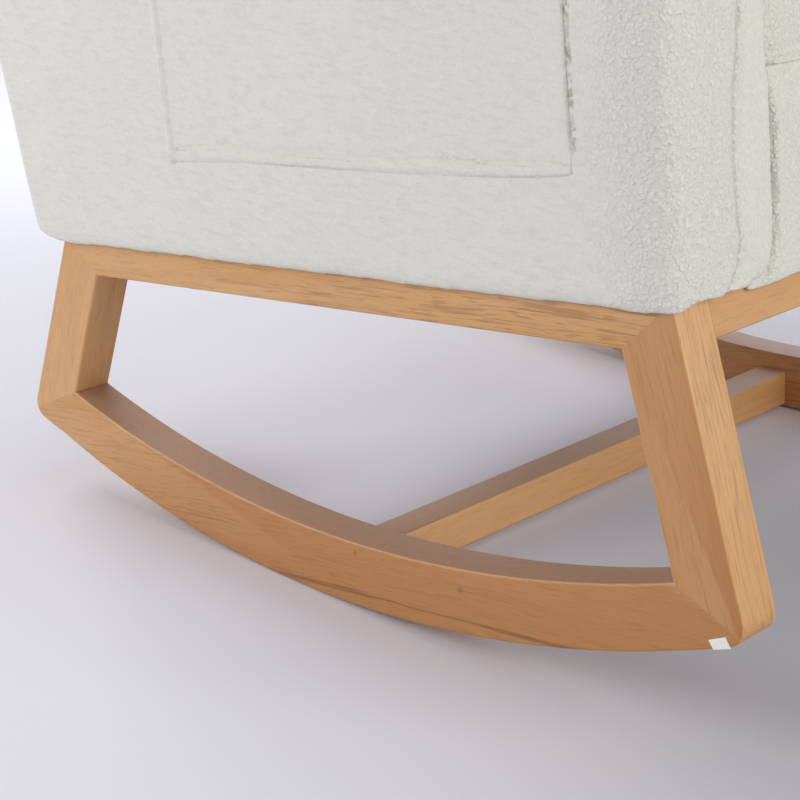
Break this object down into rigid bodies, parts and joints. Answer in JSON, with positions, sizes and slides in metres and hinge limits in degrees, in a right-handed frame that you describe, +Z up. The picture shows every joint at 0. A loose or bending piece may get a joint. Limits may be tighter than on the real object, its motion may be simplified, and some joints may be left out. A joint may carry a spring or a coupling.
{
  "type": "nursery rocking chair",
  "caption": "Upholstered nursery rocking chair: curved wooden rockers, padded arms with side pockets, a high padded back and a loose seat cushion.",
  "frame": {"origin": "centre of the chair's footprint box, on the floor", "axes": "+Z up, the sitter faces -Y, width along X with the sitter's left at +X"},
  "size_m": [0.6406, 0.8982, 0.9995],
  "materials": {
    "frame_wood": "satin",
    "inner_wood": "matte",
    "sherpa": "matte",
    "dark_cloth": "matte",
    "webbing": "matte",
    "steel": "satin",
    "sticker": "satin"
  },
  "bodies": {
    "chair": {"back_lower_rail": "inner_wood", "back_pad": "sherpa", "back_strap_1": "webbing", "back_strap_2": "webbing", "back_strap_3": "webbing", "back_top_rail": "inner_wood", "barrel_nut_front_left": "steel", "barrel_nut_front_right": "steel", "barrel_nut_rear_left": "steel", "barrel_nut_rear_right": "steel", "base_bolt_front_left": "steel", "base_bolt_front_right": "steel", "base_bolt_rear_left": "steel", "base_bolt_rear_right": "steel", "blank_sticker": "sticker", "corner_block_front_left": "inner_wood", "corner_block_front_right": "inner_wood", "corner_block_rear_left": "inner_wood", "corner_block_rear_right": "inner_wood", "dust_cover": "dark_cloth", "front_apron": "sherpa", "front_cross_rail": "frame_wood", "left_arm_cover": "sherpa", "left_arm_post": "inner_wood", "left_arm_top_board": "inner_wood", "left_back_post": "inner_wood", "left_front_leg": "frame_wood", "left_rear_leg": "frame_wood", "left_rocker": "frame_wood", "left_side_pocket": "sherpa", "left_stretcher_dowel_lower": "inner_wood", "left_stretcher_dowel_upper": "inner_wood", "left_top_rail": "frame_wood", "outer_back_panel": "sherpa", "rear_cross_rail": "frame_wood", "right_arm_cover": "sherpa", "right_arm_post": "inner_wood", "right_arm_top_board": "inner_wood", "right_back_post": "inner_wood", "right_front_leg": "frame_wood", "right_rear_leg": "frame_wood", "right_rocker": "frame_wood", "right_side_pocket": "sherpa", "right_stretcher_dowel_lower": "inner_wood", "right_stretcher_dowel_upper": "inner_wood", "right_top_rail": "frame_wood", "rocker_stretcher": "frame_wood", "seat_deck": "dark_cloth", "seat_front_board": "inner_wood", "seat_left_board": "inner_wood", "seat_rear_board": "inner_wood", "seat_right_board": "inner_wood", "seat_spring_1": "steel", "seat_spring_2": "steel", "seat_spring_3": "steel", "seat_spring_4": "steel"},
    "cushion": {"seat_cushion": "sherpa"}
  },
  "joints": [
    {"name": "cushion_lift", "type": "slide", "parent": "chair", "child": "cushion", "axis": [0, 0.1163, 0.9932], "range_m": [0, 0.15]}
  ]
}
